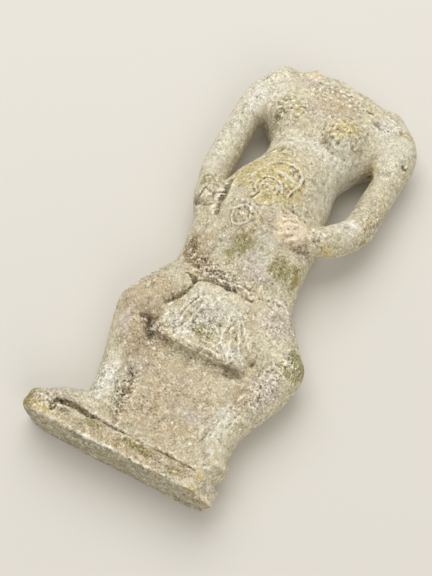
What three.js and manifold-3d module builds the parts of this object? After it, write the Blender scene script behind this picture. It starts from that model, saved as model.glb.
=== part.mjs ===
// A headless clay figurine of a squatting woman, hands on her belly, lying on its flat back.
// Millimetres. X runs across the figure, Y from the plinth's underside to the broken neck, and
// Z up from the ground to the belly. Sizes are taken from the body's midline and the underside
// of the plinth, and the finished solid is centred over the origin at the end.
import * as THREE from "three";
import { mergeVertices } from "three/addons/utils/BufferGeometryUtils.js";
import Module from "manifold-3d";

// Heights of the body's landmarks above the plinth's underside.
const ANKLE_Y = 14;
const KNEE_Y = 44;
const RIM_Y = 38.6;
const WAIST_Y = 60;
const HAND_Y = 82;
const BELLY_Y = 92;
const BREAST_Y = 122;
const SHOULDER_Y = 134;
const NECK_Y = 144;

// Reaches across the body from its midline, half widths, and heights above the ground.
const KNEE_REACH = 23.9;
const KNEE_SIZE = 7.4;
const ANKLE_REACH = 17.4;
const ANKLE_SIZE = 5;
const SHIN_Z = 9;
const WEB_FRONT = 12.5;
const KILT_FRONT = 18;
const BELLY_FRONT = 27.4;
const CHEST_FRONT = 19.4;
const BREAST_SIZE = 6.8;
const ARM_Z = 9.4;
const ARM_SIZE = 4.9;
const FINGER_SIZE = 1;
const FINGER_PITCH = 1.8;

// The plinth, a thin slab across the soles.
const PLINTH_HEIGHT = 6.4;
const PLINTH_FRONT = 16.8;
const PLINTH_BEVEL = 1;

// The body sinks this far below the ground plane before the flat back is cut.
const BACK_CUT = 0.9;

const wasm = await Module();
wasm.setup();

// A closed geometry as a solid that can be joined and cut.
function solid(geometry) {
  const bare = geometry.clone();
  bare.deleteAttribute("normal");
  bare.deleteAttribute("uv");
  const merged = mergeVertices(bare, 1e-4);
  return new wasm.Manifold(
    new wasm.Mesh({
      numProp: 3,
      vertProperties: merged.attributes.position.array,
      triVerts: new Uint32Array(merged.index.array),
    }),
  );
}

// A closed skin over rings that all have the same number of points, with a fan on each end ring.
function skin(rings) {
  const sides = rings[0].length;
  const centre = (ring) => {
    const sum = new THREE.Vector3();
    ring.forEach((p) => sum.add(p));
    return sum.divideScalar(sides);
  };
  const points = [...rings.flat(), centre(rings[0]), centre(rings.at(-1))];
  const start = rings.length * sides;
  const last = (rings.length - 1) * sides;
  const index = [];
  for (let i = 0; i < sides; i++) {
    const j = (i + 1) % sides;
    for (let k = 0; k < last; k += sides) {
      index.push(k + i, k + j, k + sides + j);
      index.push(k + i, k + sides + j, k + sides + i);
    }
    index.push(start, j, i);
    index.push(start + 1, last + i, last + j);
  }
  const geometry = new THREE.BufferGeometry().setFromPoints(points);
  return geometry.setIndex(index);
}

// Smooth values through a few stations: each station is a list of numbers at the same position.
function along(stations, columns) {
  const picks = stations.map((s) => new THREE.Vector3(...columns.map((c) => s[c] ?? 0)));
  return new THREE.CatmullRomCurve3(picks, false, "catmullrom", 0.5);
}

// A limb: an oval carried through stations of [x, y, z, half width, half depth], with round ends.
function limb(stations, sides = 14, steps = 14) {
  const path = along(stations, [0, 1, 2]);
  const size = along(stations, [3, 4]);
  const vertical = new THREE.Vector3(0, 0, 1);
  const rings = [];
  const addRing = (t, out, scale) => {
    const forward = path.getTangent(t);
    const across = new THREE.Vector3().crossVectors(forward, vertical).normalize();
    const up = new THREE.Vector3().crossVectors(across, forward);
    const middle = path.getPoint(t);
    const { x: wide, y: deep } = size.getPoint(t);
    middle.addScaledVector(forward, out * wide);
    const ring = [];
    for (let i = 0; i < sides; i++) {
      const a = (2 * Math.PI * i) / sides;
      const point = middle.clone();
      point.addScaledVector(across, wide * scale * Math.cos(a));
      point.addScaledVector(up, deep * scale * Math.sin(a));
      ring.push(point);
    }
    rings.push(ring.reverse());
  };
  const caps = [75, 45, 20].map(THREE.MathUtils.degToRad);
  caps.forEach((a) => addRing(0, -Math.sin(a), Math.cos(a)));
  for (let i = 0; i <= steps; i++) addRing(i / steps, 0, 1);
  caps.reverse().forEach((a) => addRing(1, Math.sin(a), Math.cos(a)));
  return solid(skin(rings));
}

// An egg shape: a sphere with three half axes.
function egg(x, y, z, rx, ry, rz, sides = 20) {
  const ball = new THREE.SphereGeometry(1, sides, Math.round(sides * 0.6));
  return solid(ball.scale(rx, ry, rz).translate(x, y, z));
}

// A block between two corners.
function block(low, high) {
  const size = high.map((h, i) => h - low[i]);
  const middle = high.map((h, i) => (h + low[i]) / 2);
  return new THREE.BoxGeometry(...size).translate(...middle);
}

// A slab between a back and a front, both functions of u and v from 0 to 1.
function slab(back, front, across, down) {
  const rings = [];
  for (let j = 0; j <= down; j++) {
    const ring = [];
    for (let i = 0; i <= across; i++) ring.push(back(i / across, j / down));
    for (let i = across; i >= 0; i--) ring.push(front(i / across, j / down));
    rings.push(ring);
  }
  return solid(skin(rings));
}

// The trunk: sections that are rounded in front and nearly flat behind.
function trunk() {
  const stations = [
    // y, left edge, right edge, front
    [41, -16, 17, WEB_FRONT], // seat
    [47, -22, 22, 16.6],
    [WAIST_Y - 6, -24.6, 24.6, 17.8], // hips
    [WAIST_Y - 1, -23, 22.6, 17.2],
    [WAIST_Y + 3, -20.4, 19.6, 17], // waist crease
    [68, -20.2, 18.2, 18.8],
    [74, -21.3, 17.4, 20.4],
    [HAND_Y - 1, -21.6, 17, 21.6],
    [89, -20.2, 16.4, 22],
    [98, -17.2, 14.4, 21.6],
    [106, -13.2, 13.6, 20.4],
    [111.5, -11.4, 14.6, 19.6],
    [117, -13.8, 18.6, CHEST_FRONT],
    [125, -22.4, 25, CHEST_FRONT],
    [SHOULDER_Y - 1, -26, 27.5, 18.2],
    [139.5, -24, 22.5, 16.6],
    [NECK_Y, -17, 12, 14.4],
  ];
  const edges = along(stations, [0, 1, 2]);
  const fronts = along(stations, [3]);
  const steps = 30;
  const sides = 26;
  const rings = [];
  for (let k = 0; k <= steps; k++) {
    const { x: y, y: left, z: right } = edges.getPoint(k / steps);
    const front = fronts.getPoint(k / steps).x;
    const spine = 0.42 * front;
    const middle = (left + right) / 2;
    const half = (right - left) / 2;
    const ring = [];
    for (let i = 0; i < sides; i++) {
      const a = (2 * Math.PI * i) / sides;
      const c = Math.cos(a);
      const s = Math.sin(a);
      const flat = s < 0 ? 0.45 : 0.72;
      const rise = s < 0 ? spine + BACK_CUT : front - spine;
      const x = middle + half * Math.sign(c) * Math.abs(c) ** 0.7;
      const z = spine + rise * Math.sign(s) * Math.abs(s) ** flat;
      ring.push(new THREE.Vector3(x, y, z));
    }
    rings.push(ring.reverse());
  }
  return solid(skin(rings));
}

// The arms: the left hangs almost straight to the hip, and the right bends in to the belly.
function arms() {
  const left = [
    [-18, 136, 9.6, 7.4, 6.8],
    [-23, 128, ARM_Z, 5.9, 6.2],
    [-24.2, 118, ARM_Z, ARM_SIZE, 5.8],
    [-24, 107, ARM_Z, ARM_SIZE, 5.6],
    [-23.4, 97, 9.8, ARM_SIZE, 5.8],
    [-21.6, 88, 10.2, 4.6, 6.2],
    [-19, 80.6, 10.6, 3.6, 5.6],
  ];
  const right = [
    [18, 135, 9.6, 7.6, 6.8],
    [24.7, 128.5, ARM_Z, 7.3, 6.4],
    [26.4, 118, ARM_Z, 5.2, 6],
    [26.1, 107, ARM_Z, ARM_SIZE, 5.8],
    [24.9, 97.6, 10.2, ARM_SIZE, 6],
    [20.8, 90.4, 12.6, ARM_SIZE, 5.6],
    [15.8, 85, 15.8, 4.2, 4.6],
    [11.8, 82.6, 18.4, 3.7, 3.2],
  ];
  return [limb(left), limb(right, 14, 18)];
}

// One finger: a capsule from its knuckle to its tip.
function finger(from, to, size = FINGER_SIZE) {
  const knuckle = new THREE.Vector3(...from);
  const tip = new THREE.Vector3(...to);
  const reach = new THREE.Vector3().subVectors(tip, knuckle);
  const capsule = new THREE.CapsuleGeometry(size, reach.length(), 3, 8);
  const turn = new THREE.Quaternion();
  turn.setFromUnitVectors(new THREE.Vector3(0, 1, 0), reach.normalize());
  const middle = knuckle.lerp(tip, 0.5);
  return solid(capsule.applyQuaternion(turn).translate(middle.x, middle.y, middle.z));
}

// The hands, with fingers that lie across the belly on the right and over the hip on the left.
function hands() {
  const parts = [
    egg(-20.5, 86.4, 12.2, 4.7, 5.8, 6.4, 16),
    egg(11.3, HAND_Y, 18.8, 4.2, 4.4, 3.8, 16),
    finger([12.6, HAND_Y + 4, 21], [8, HAND_Y + 5, 22], 1.1), // thumb
  ];
  for (let i = 0; i < 4; i++) {
    const drop = (1.5 - i) * FINGER_PITCH;
    parts.push(finger([10.8, HAND_Y + drop, 21.6], [5.2, HAND_Y - 1.4 + drop, 22.2]));
    parts.push(finger([-23.4, 86.4 + drop, 15], [-18.2, 87 + drop, 17]));
  }
  return parts;
}

// The domed front: breasts and a swelling belly.
const BELLY_HALF = new THREE.Vector3(14.4, 21, BELLY_FRONT - 10);

function domes() {
  return [
    egg(-10.8, BREAST_Y, 15.6, BREAST_SIZE, BREAST_SIZE, 5.6, 18),
    egg(9.4, BREAST_Y, 16.4, BREAST_SIZE + 0.4, BREAST_SIZE + 0.4, 6.2, 18),
    egg(-2.2, BELLY_Y, 10, BELLY_HALF.x, BELLY_HALF.y, BELLY_HALF.z, 24),
  ];
}

// Height of the belly's dome at a point of its front, which the chest's foot takes over from.
function bellyFront(x, y) {
  const r = Math.hypot((x + 2.2) / BELLY_HALF.x, (y - BELLY_Y) / BELLY_HALF.y);
  return Math.max(20.2, 10 + BELLY_HALF.z * Math.sqrt(Math.max(0, 1 - r * r)));
}

// A raised cord laid over the belly along a curve of x and y.
function cord(curve, size, steps) {
  const points = curve.getPoints(steps);
  return limb(points.map(({ x, y }) => [x, y, bellyFront(x, y) + 0.1, size, size]), 8, steps);
}

// The emblem on the belly: a pointed hood over a round arch, with a ring and the navel below.
function emblem() {
  const turns = [-0.2, 1.1, 1.9].map((t) => t * Math.PI);
  const arch = new THREE.EllipseCurve(-1.6, 95.5, 6.7, 7.8, turns[0], turns[1]);
  const hood = new THREE.QuadraticBezierCurve(
    new THREE.Vector2(-8.8, 103),
    new THREE.Vector2(-5, 110.5),
    new THREE.Vector2(-0.6, 106.4),
  );
  const ring = new THREE.EllipseCurve(-2.9, 91.4, 2.2, 2.1, 0, turns[2]);
  const navel = new THREE.EllipseCurve(-6.6, 79.7, 2.6, 2.6, 0, turns[2]);
  return [cord(arch, 0.6, 18), cord(hood, 0.6, 6), cord(ring, 0.5, 10), cord(navel, 0.5, 10)];
}

// The short kilt: pleats fan out from under the belly to a rim that stands over the web.
function kilt() {
  const topHalf = 9;
  const rimHalf = 15.8;
  const pleats = 9;
  const front = (u, v) => {
    const across = 2 * u - 1;
    const x = 0.5 + across * THREE.MathUtils.lerp(topHalf, rimHalf, v);
    const y = THREE.MathUtils.lerp(WAIST_Y + 1, RIM_Y, v) + 0.8 * across * across * v;
    const pleat = 0.5 * Math.sin(Math.PI * pleats * u) ** 2 * Math.sin(Math.PI * v) ** 0.5;
    const rise = THREE.MathUtils.lerp(16.4, KILT_FRONT, v ** 0.7);
    return new THREE.Vector3(x, y, rise - 1.2 * across * across + pleat);
  };
  const back = (u, v) => front(u, v).setZ(7);
  return slab(back, front, 27, 5);
}

// The bent legs: thighs spread to the knees, shins close in to the ankles.
function legs() {
  const parts = [];
  for (const side of [-1, 1]) {
    const knee = side < 0 ? -KNEE_REACH + 2.3 : KNEE_REACH;
    const thigh = [
      [side * 9, WAIST_Y - 3.5, 9.3, 8.4, 7.6],
      [side * 15.8, 51.6, 9.6, 9.5, 8.2],
      [knee, KNEE_Y + 0.8, 9.6, KNEE_SIZE, 8],
    ];
    const shin = [
      [knee, KNEE_Y, 9.4, KNEE_SIZE - 0.1, 7.6],
      [knee - side, 37, SHIN_Z, 6.7, 7],
      [side * 18.6, 24, SHIN_Z, ANKLE_SIZE, 6.6],
      [side * ANKLE_REACH, ANKLE_Y, SHIN_Z, ANKLE_SIZE, 6.6],
      [side * ANKLE_REACH, 6, SHIN_Z, ANKLE_SIZE, 6.4],
    ];
    parts.push(limb(thigh, 14, 8), limb(shin));
  }
  return parts;
}

// The flat web that fills the space between the shins.
function web() {
  const outline = new THREE.Shape();
  outline.moveTo(-17, 4);
  outline.lineTo(17, 4);
  outline.lineTo(22, 46);
  outline.lineTo(-21, 46);
  const depth = WEB_FRONT + BACK_CUT;
  const sheet = new THREE.ExtrudeGeometry(outline, { depth, bevelEnabled: false });
  return solid(sheet.translate(0, 0, -BACK_CUT));
}

// The feet: the left turned out along the plinth, the right broken off at the instep.
function feet() {
  const left = [
    [-18, 10, 9.4, 5, 6.4],
    [-25, 9, 9, 4.6, 6.2],
    [-31, 7.2, 8, 3.6, 5.8],
    [-34, 6, 7.4, 2.6, 5.2],
  ];
  return [
    limb(left, 12, 8),
    egg(19.5, 10.4, 9, 4.5, 4.4, 7, 14),
    egg(22.3, 11.2, 8.6, 2, 1.8, 3.4, 10),
    egg(18.4, 11.6, 14.4, 2, 1.9, 2, 10),
  ];
}

// The plinth: its left end tapers to the worn toe, and its right end is a rough break.
function plinth() {
  const stations = [
    // x, underside, top, front
    [-37.4, 3.4, 5, 9],
    [-36.6, 2.2, 6, 12.4],
    [-34.5, 1, PLINTH_HEIGHT, 15],
    [-29.5, 0.3, PLINTH_HEIGHT, 16.4],
    [-20, 0, PLINTH_HEIGHT, PLINTH_FRONT],
    [20.6, 0, PLINTH_HEIGHT, PLINTH_FRONT],
    [22.6, 0.2, PLINTH_HEIGHT - 0.6, 14.4],
    [24.4, 0.6, PLINTH_HEIGHT - 1.4, 10.5],
  ];
  const rings = stations.map(([x, low, high, front]) => {
    const bevel = Math.min(PLINTH_BEVEL, (high - low) / 4);
    return [
      new THREE.Vector3(x, low, -BACK_CUT),
      new THREE.Vector3(x, high, -BACK_CUT),
      new THREE.Vector3(x, high, front - bevel),
      new THREE.Vector3(x, high - bevel, front),
      new THREE.Vector3(x, low + bevel, front),
      new THREE.Vector3(x, low, front - bevel),
    ];
  });
  return solid(skin(rings));
}

// The trunk and the stump of the neck, snapped off along one uneven edge.
function body() {
  const stump = [
    [-3, SHOULDER_Y, 8, 13, 7],
    [-3, NECK_Y, 8.6, 11.5, 6.4],
    [-3.4, NECK_Y + 5, 8.4, 10.4, 6],
  ];
  const edge = [
    // x, and how far above or below the neck's foot the break runs
    [-30, -5],
    [-20, -2.2],
    [-13.8, -1.6],
    [-10.4, 2.2],
    [-8, -0.2],
    [-1.6, 0.4],
    [5, -1.2],
    [17, -2.8],
    [30, -7],
  ];
  const lost = new THREE.Shape();
  lost.moveTo(-30, NECK_Y + 30);
  edge.forEach(([x, rise]) => lost.lineTo(x, NECK_Y + rise));
  lost.lineTo(30, NECK_Y + 30);
  const chip = new THREE.ExtrudeGeometry(lost, { depth: 40, bevelEnabled: false });
  const whole = trunk().add(limb(stump, 18, 4));
  return whole.subtract(solid(chip.translate(0, 0, -10)));
}

// Everything joined, and cut off flat below, so that the figure rests on its back.
function figure() {
  const parts = [
    body(),
    ...arms(),
    ...hands(),
    ...domes(),
    ...emblem(),
    kilt(),
    ...legs(),
    web(),
    ...feet(),
    plinth(),
  ];
  const joined = parts.reduce((whole, part) => whole.add(part));
  const ground = solid(block([-80, -20, -20], [80, 180, 0]));
  const below = solid(block([-80, -20, -1], [80, 0, 60]));
  return joined.subtract(ground).subtract(below);
}

const mesh = figure().getMesh();
const geometry = new THREE.BufferGeometry();
geometry.setAttribute("position", new THREE.BufferAttribute(mesh.vertProperties, 3));
geometry.setIndex(new THREE.BufferAttribute(mesh.triVerts, 1));
geometry.computeBoundingBox();
const middle = geometry.boundingBox.getCenter(new THREE.Vector3());
geometry.translate(-middle.x, -middle.y, -geometry.boundingBox.min.z);
geometry.computeVertexNormals();

const clay = new THREE.MeshStandardMaterial({ color: "#b8ac8e", roughness: 0.8, metalness: 0 });
const figurine = new THREE.Mesh(geometry, clay);
figurine.name = "figurine";

const part = new THREE.Group();
part.add(figurine);
export default part;
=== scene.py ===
"""A headless clay figurine of a squatting woman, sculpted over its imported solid.

The forms are worked out in millimetres in the figure's own frame: x runs across the body from its
midline, y up the body from the underside of the plinth, and z out of the belly from the ground
that the flat back lies on. They are joined into one skin, worn smooth, carved, and only then
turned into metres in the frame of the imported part.
"""

import math

import bpy
import numpy as np
from mathutils import Matrix, Vector


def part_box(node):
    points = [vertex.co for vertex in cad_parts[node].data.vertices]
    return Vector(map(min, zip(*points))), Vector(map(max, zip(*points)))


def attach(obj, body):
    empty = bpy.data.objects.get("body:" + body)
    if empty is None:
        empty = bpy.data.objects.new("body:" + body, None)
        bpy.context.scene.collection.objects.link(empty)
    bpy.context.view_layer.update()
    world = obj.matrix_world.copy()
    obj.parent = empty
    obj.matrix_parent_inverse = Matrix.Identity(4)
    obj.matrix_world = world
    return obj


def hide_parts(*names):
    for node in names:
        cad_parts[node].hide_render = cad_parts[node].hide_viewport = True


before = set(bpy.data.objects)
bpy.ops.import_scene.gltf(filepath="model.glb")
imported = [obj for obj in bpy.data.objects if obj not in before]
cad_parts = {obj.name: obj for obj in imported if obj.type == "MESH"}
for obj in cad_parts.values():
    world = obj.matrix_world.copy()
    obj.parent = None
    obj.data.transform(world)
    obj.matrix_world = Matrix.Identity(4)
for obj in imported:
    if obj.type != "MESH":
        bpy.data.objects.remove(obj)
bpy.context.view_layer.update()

bl_info = {
    "name": "Clay figurine",
    "version": (1, 0, 0),
    "blender": (4, 5, 0),
    "location": "View3D > Sidebar > Figurine",
    "description": "Sculpts a worn clay figurine over its packed solid",
    "category": "Add Mesh",
}

PIECE = "figurine"

LOW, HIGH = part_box(PIECE)

# The body's length in millimetres, and how far left of its midline the worn end of the plinth reaches.
LENGTH = 146.2
LEFT_REACH = 37.4
# A millimetre of the figure in the frame's metres.
MM = (HIGH.y - LOW.y) / LENGTH

# Landmarks up the body.
RIM_Y = 37
KNEE_Y = 44
KILT_TOP_Y = 59
HAND_Y = 82

# Places on the body, x and y.
EMBLEM_EYE = (-2, 89.6)
NAVEL = (-6, 79.6)
LEFT_HAND = (-19.6, 85.6)
LEFT_BREAST = (-10.6, 123.8)
RIGHT_BREAST = (9.4, 121.8)

# How far the rings on a breast reach, and how many petals it has.
BREAST_REACH = 6.4
PETALS = 13
# From one finger to the next on the right hand.
FINGER_PITCH = 1.85

# How far the left and the right knee stand from the midline.
KNEE_X = {-1: -21.6, 1: 23.9}
# The panel between the shins, the kilt's top and the kilt's rim stand this far above the ground.
WEB_FRONT = 12.5
KILT_FRONT = 16.4
RIM_FRONT = 16.8
# The kilt's slab starts this far above the ground, inside the thighs.
KILT_BACK = 7
# The body sinks this far below the ground before its back is flattened.
BACK_CUT = 0.9

# Sections of the trunk: y, left edge, right edge, front.
TRUNK = [
    (41, -16, 17, 12.5),
    (47, -22, 22, 16.6),
    (54, -24.6, 24.6, 17.8),
    (59, -23, 22.8, 17.2),
    (63, -20.4, 20, 17),
    (68, -20.2, 18.2, 18.8),
    (74, -21.3, 17.4, 20.4),
    (81, -21.6, 17, 21.6),
    (89, -20.2, 16.6, 22),
    (98, -16.5, 15.2, 21.6),
    (106, -12.8, 14, 20.4),
    (111.5, -12, 14.6, 19.6),
    (117, -13.6, 18, 19.4),
    (125, -21.8, 25, 19.4),
    (133, -26, 27.5, 18.2),
    (139.5, -24, 22.5, 16.6),
    (144.4, -17, 12, 14.4),
]

# Limbs: x, y, z of the middle, half width across, half depth.
LEFT_ARM = [
    (-18, 136, 9.6, 7.4, 6.8),
    (-23.3, 128, 9.4, 5.6, 6.2),
    (-24.4, 118, 9.4, 4.7, 5.8),
    (-24, 107, 9.4, 4.8, 5.6),
    (-23.4, 97, 9.8, 4.9, 5.8),
    (-21.6, 88, 10.2, 4.6, 6.2),
    (-19, 80.6, 10.6, 3.6, 5.6),
]
RIGHT_ARM = [
    (18, 135, 9.6, 7.6, 6.8),
    (24.7, 128.5, 9.4, 7.3, 6.4),
    (26.4, 118, 9.4, 5.2, 6),
    (26.1, 107, 9.4, 4.8, 5.8),
    (25.1, 97.4, 10.2, 5, 6),
    (21.2, 90.4, 12.6, 5, 5.6),
    (15.8, 85, 15.8, 4.2, 4.6),
    (11.8, 82.6, 18.4, 3.7, 3.2),
]
LEFT_FOOT = [
    (-18, 10, 9.4, 5, 6.4),
    (-25, 9, 9, 4.6, 6.2),
    (-31, 7.2, 8, 3.6, 5.8),
    (-34.4, 6.6, 7.6, 2.8, 5.4),
]
NECK = [
    (-3, 134, 8, 13, 7),
    (-3, 144, 8.6, 11.5, 6.4),
    (-3.4, 149, 8.4, 10.4, 6),
]

# The broken top edge, from the left shoulder to the right one: x and y.
BREAK = [
    (-30, 139), (-20, 141.8), (-13.8, 142.4), (-13, 143.8), (-10.4, 146.2), (-8, 143.8), (-5.4, 143.6),
    (-1.6, 144.4), (2, 143.6), (5, 142.8), (10, 142.2), (17, 141.2), (30, 137),
]

# The plinth: x, underside, top, front, from the worn left end to the broken right end.
PLINTH = [
    (-37.2, 3.4, 5.6, 9),
    (-36.6, 2.2, 6.6, 12.4),
    (-34.5, 1, 6.8, 15),
    (-29.5, 0.2, 6.4, 16.4),
    (-20, -0.2, 6.4, 16.8),
    (-8, -0.4, 6.4, 16.8),
    (8, -0.5, 6.4, 17),
    (18.6, -0.5, 6.2, 17),
    (21, -0.3, 5.8, 14.4),
    (23, -0.2, 5.6, 12),
    (24.4, 0.2, 5, 9.5),
]
# The broken right end of the plinth leans back by this much at the ground.
END_LEAN = 2.4


def smooth_path(stations, count):
    """Rows on a Catmull-Rom curve through the stations, even in row number."""
    rows = np.asarray(stations, float)
    ends = np.vstack([2 * rows[0] - rows[1], rows, 2 * rows[-1] - rows[-2]])
    place = np.linspace(0, len(rows) - 1, count)
    row = np.minimum(place.astype(int), len(rows) - 2)
    t = (place - row)[:, None]
    a, b, c, d = (ends[row + k] for k in range(4))
    cubic = (3 * b - 3 * c + d - a) * t**3
    return 0.5 * (2 * b + (c - a) * t + (2 * a - 5 * b + 4 * c - d) * t**2 + cubic)


def ring_skin(rings):
    """Points and triangles of a closed skin over a grid (ring, corner, xyz).

    Each ring joins the next corner by corner, and a fan from its middle closes each end ring.
    """
    count, sides, _ = rings.shape
    points = np.vstack([rings.reshape(-1, 3), rings[[0, -1]].mean(axis=1)])
    ring, corner = np.meshgrid(np.arange(count - 1), np.arange(sides), indexing="ij")
    a = (ring * sides + corner).ravel()
    b = (ring * sides + (corner + 1) % sides).ravel()
    first = np.arange(sides)
    following = (first + 1) % sides
    last = (count - 1) * sides
    middle = np.full(sides, count * sides)
    triangles = [
        np.stack([a, b, b + sides], 1),
        np.stack([a, b + sides, a + sides], 1),
        np.stack([middle, following, first], 1),
        np.stack([middle + 1, last + first, last + following], 1),
    ]
    return points, np.vstack(triangles)


def limb(stations, count=60, sides=40):
    """An oval carried along a curve, with round ends.

    Ring k is middle + wide * cos(angle) * across + deep * sin(angle) * up, where across is level
    and square to the curve; past each end the oval shrinks as a quarter circle does.
    """
    rows = smooth_path(stations, count)
    forward = np.gradient(rows[:, :3], axis=0)
    turn = np.radians([75, 60, 45, 30, 15])
    order = np.r_[np.zeros(len(turn), int), np.arange(count), np.full(len(turn), count - 1)]
    shrink = np.r_[np.cos(turn), np.ones(count), np.cos(turn[::-1])]
    reach = np.r_[-np.sin(turn), np.zeros(count), np.sin(turn[::-1])]
    rows, forward = rows[order], forward[order]
    forward /= np.linalg.norm(forward, axis=1, keepdims=True)
    across = np.cross(forward, (0, 0, 1))
    across /= np.linalg.norm(across, axis=1, keepdims=True)
    up = np.cross(across, forward)
    wide, deep = rows[:, 3], rows[:, 4]
    middle = rows[:, :3] + forward * (reach * wide)[:, None]
    angle = np.linspace(0, 2 * np.pi, sides, endpoint=False)
    sideways = np.multiply.outer(wide * shrink, np.cos(angle))[..., None] * across[:, None]
    upwards = np.multiply.outer(deep * shrink, np.sin(angle))[..., None] * up[:, None]
    return ring_skin(middle[:, None] + sideways + upwards)


def egg(middle, half_axes, count=40, sides=56):
    """A sphere stretched to three half axes: rings at even latitudes along y."""
    latitude = np.linspace(0.02, np.pi - 0.02, count)[:, None]
    longitude = np.linspace(0, 2 * np.pi, sides, endpoint=False)
    x = np.sin(latitude) * np.cos(longitude)
    y = -np.cos(latitude) * np.ones_like(longitude)
    z = np.sin(latitude) * np.sin(longitude)
    return ring_skin(np.stack([x, y, z], -1) * half_axes + middle)


def slab(front, back_z):
    """A slab under a grid of front points (row, column, xyz).

    Each ring is a row and its shadow on z = back_z.
    """
    shadow = front[:, ::-1].copy()
    shadow[..., 2] = back_z
    return ring_skin(np.concatenate([front, shadow], axis=1))


def grid(rows, columns):
    """Two arrays that run from 0 to 1: down the rows, and across the columns."""
    return np.meshgrid(np.linspace(0, 1, rows), np.linspace(0, 1, columns), indexing="ij")


def bent(wave, power):
    """A sine or cosine whose size is raised to a power, with its sign kept."""
    return np.sign(wave) * np.abs(wave) ** power


def trunk():
    """Sections across the body: a rounded front over a nearly flat back.

    x = middle + half width * cos^0.85, z = spine + rise * sin^0.72 in front and sin^0.45 behind,
    where the spine lies at 0.42 of the front's height.
    """
    y, left, right, front = smooth_path(TRUNK, 110)[:, :, None].transpose(1, 0, 2)
    angle = np.linspace(0, 2 * np.pi, 96, endpoint=False)
    cosine, sine = np.cos(angle), np.sin(angle)
    spine = 0.42 * front
    rise = np.where(sine < 0, spine + BACK_CUT, front - spine)
    power = np.where(sine < 0, 0.45, 0.72)
    x = (left + right) / 2 + (right - left) / 2 * bent(cosine, 0.85)
    z = spine + rise * bent(sine, power)
    return ring_skin(np.stack([x, np.broadcast_to(y, x.shape), z], -1))


def snapped(shell):
    """A shell pressed down to the broken edge: y = the lesser of y and the edge's y at x."""
    points, triangles = shell
    edge_x, edge_y = np.array(BREAK).T
    points[:, 1] = np.minimum(points[:, 1], np.interp(points[:, 0], edge_x, edge_y))
    return points, triangles


def legs():
    """The thighs, spread to the knees, and the shins, which close in to the ankles."""
    shells = []
    for side in (-1, 1):
        knee = KNEE_X[side]
        thigh = [
            (side * 9, 56.5, 9.3, 8.4, 7.6),
            (side * 15.8, 51.6, 9.6, 9.5, 8.2),
            (knee, 44.8, 9.6, 7.4, 8),
        ]
        shin = [
            (knee, KNEE_Y, 9.4, 7.3, 7.6),
            (knee - side, 37, 9, 6.7, 7),
            (side * 18.6, 24, 8.8, 5, 6.6),
            (side * 17.4, 14, 8.8, 5, 6.6),
            (side * 17.4, 6, 8.8, 5, 6.4),
        ]
        shells += [limb(thigh), limb(shin)]
    return shells


def web():
    """The flat panel between the shins.

    Its straight edges run from (17, 4) to (22, 46) and from (-17, 4) to (-21, 46).
    """
    down, across = grid(12, 12)
    left = -21 + 4 * down
    right = 22 - 5 * down
    x = left + (right - left) * across
    front = np.stack([x, 46 - 42 * down, np.full_like(x, WEB_FRONT)], -1)
    return slab(front, -BACK_CUT)


def kilt():
    """The kilt's front: rows from the waist to the rim that widen and rise.

    z climbs from the top's front to the rim's with the row to the power 0.7, less 1.2 at the two edges.
    """
    down, across = grid(60, 120)
    side = 2 * across - 1
    x = 0.5 + side * (9 + 6.8 * down)
    y = KILT_TOP_Y + (RIM_Y - KILT_TOP_Y) * down + 0.8 * side**2 * down
    z = KILT_FRONT + (RIM_FRONT - KILT_FRONT) * down**0.7 - 1.2 * side**2
    return slab(np.stack([x, y, z], -1), KILT_BACK)


def plinth():
    """The plinth: an oblong section carried from end to end, whose right end leans back at the ground.

    y = middle + half height * cos^0.25 and z = middle + half depth * sin^0.25.
    """
    x, low, high, front = smooth_path(PLINTH, 120)[:, :, None].transpose(1, 0, 2)
    angle = np.linspace(0, 2 * np.pi, 120, endpoint=False)
    cosine, sine = np.cos(angle), np.sin(angle)
    y = (low + high) / 2 + (high - low) / 2 * bent(cosine, 0.25)
    z = (front - BACK_CUT) / 2 + (front + BACK_CUT) / 2 * bent(sine, 0.25)
    x = x - END_LEAN * step(x, 17, 24) * step(-z, -9, 0)
    return ring_skin(np.stack([x, y, z], -1))


def forms():
    """Every form of the figure, each a closed skin that sinks into its neighbours."""
    return [
        snapped(trunk()),
        snapped(limb(NECK)),
        limb(LEFT_ARM),
        limb(RIGHT_ARM),
        # the backs of the left and the right hand
        egg((-20.2, 86, 12.2), (4.7, 5.4, 6.4)),
        egg((10.6, 82.2, 19.2), (4.9, 4.6, 4.2)),
        kilt(),
        # the full thighs beside the kilt
        egg((-16.8, 48, 9.4), (7.6, 6.4, 8.4)),
        egg((17.4, 48, 9.6), (7.8, 6.8, 8.6)),
        *legs(),
        web(),
        limb(LEFT_FOOT),
        # the right ankle and the lumps of its broken foot
        egg((19.5, 10.4, 9), (4.5, 4.4, 7)),
        egg((22.3, 11.2, 8.6), (2, 1.8, 3.4)),
        egg((18.4, 11.6, 14.4), (2, 1.9, 2)),
        plinth(),
    ]


def mesh_of(points, triangles, name):
    """A mesh of those points and faces."""
    mesh = bpy.data.meshes.new(name)
    mesh.from_pydata(points, [], triangles)
    mesh.update()
    return mesh


def with_modifier(mesh, kind, **settings):
    """The mesh with one modifier worked into it, in place of the one given."""
    carrier = bpy.data.objects.new("carrier", mesh)
    bpy.context.scene.collection.objects.link(carrier)
    modifier = carrier.modifiers.new(kind.title(), kind)
    for key, value in settings.items():
        setattr(modifier, key, value)
    graph = bpy.context.evaluated_depsgraph_get()
    made = bpy.data.meshes.new_from_object(carrier.evaluated_get(graph))
    bpy.data.objects.remove(carrier)
    bpy.data.meshes.remove(mesh)
    return made


def read(collection, key, width, kind):
    """One property of a mesh's vertices, edges or triangles as an array of that width."""
    values = np.empty(len(collection) * width, kind)
    collection.foreach_get(key, values)
    return values.reshape(-1, width) if width > 1 else values


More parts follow.
